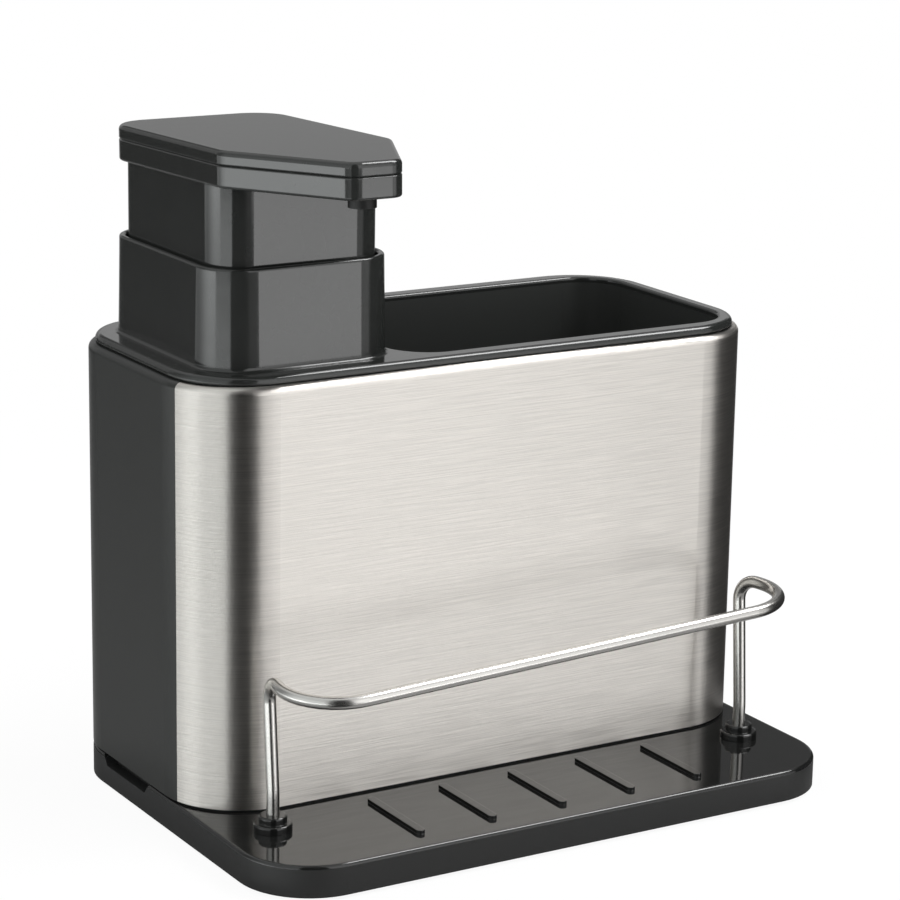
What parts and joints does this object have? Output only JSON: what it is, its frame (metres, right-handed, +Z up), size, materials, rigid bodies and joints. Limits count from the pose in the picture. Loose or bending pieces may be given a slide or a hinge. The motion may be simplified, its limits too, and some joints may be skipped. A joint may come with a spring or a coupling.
{
  "type": "soap pump caddy",
  "caption": "Sink caddy with a push-down soap pump in a refillable tank, an open utensil bin, a brushed steel front and a drip tray with a wire rail that holds cleaning pads.",
  "frame": {"origin": "on the counter, at the bottom centre of the whole object's box", "axes": "+Z up, +X along the front from the pump to the utensil bin, -Y out of the front, towards the tray"},
  "size_m": [0.18, 0.1284, 0.1871],
  "materials": {
    "base": "polished black moulding",
    "housing": "satin dark grey moulding",
    "steel": "stainless sheet brushed along its width",
    "insert": "polished black moulding",
    "head": "polished black moulding",
    "wire": "polished stainless wire",
    "ferrule": "polished black moulding",
    "fastener": "plain spring steel",
    "foot": "matt black rubber",
    "closure": "satin black moulding",
    "works": "natural white moulding",
    "seal": "matt black rubber",
    "tube": "clear natural tube",
    "spring": "bright spring wire",
    "ball": "polished steel ball"
  },
  "bodies": {
    "base": {"base_tray": "base", "foot_front_left": "foot", "foot_front_right": "foot", "foot_back_left": "foot", "foot_back_right": "foot", "wire_rail": "wire", "rail_ferrule_left": "ferrule", "rail_ferrule_right": "ferrule", "rail_push_nuts": "fastener"},
    "caddy": {"housing": "housing", "steel_wrap": "steel", "insert": "insert", "soap_tank": "closure"},
    "pump_unit": {"closure_plate": "closure", "closure_gasket": "seal", "pump_cylinder": "works", "lock_ring": "closure", "dip_tube": "tube", "return_spring": "spring"},
    "plunger": {"head_body": "head", "head_cap": "head", "nozzle": "closure", "delivery_tube": "tube", "pump_stem": "works", "piston": "seal"},
    "inlet_ball": {"inlet_ball": "ball"},
    "outlet_ball": {"outlet_ball": "ball"}
  },
  "joints": [
    {"name": "housing_lift", "type": "slide", "parent": "base", "child": "caddy", "axis": [0, 0, 1], "range_m": [0, 0.06]},
    {"name": "pump_lift", "type": "slide", "parent": "caddy", "child": "pump_unit", "axis": [0, 0, 1], "range_m": [0, 0.14]},
    {"name": "pump_press", "type": "slide", "parent": "pump_unit", "child": "plunger", "axis": [0, 0, -1], "range_m": [0, 0.016], "stiffness_N_per_m": 500, "springref_m": -0.012, "deforming": ["return_spring"]},
    {"name": "inlet_ball_lift", "type": "slide", "parent": "pump_unit", "child": "inlet_ball", "axis": [0, 0, 1], "range_m": [0, 0.0015]},
    {"name": "outlet_ball_lift", "type": "slide", "parent": "plunger", "child": "outlet_ball", "axis": [0, 0, 1], "range_m": [0, 0.0015]}
  ]
}
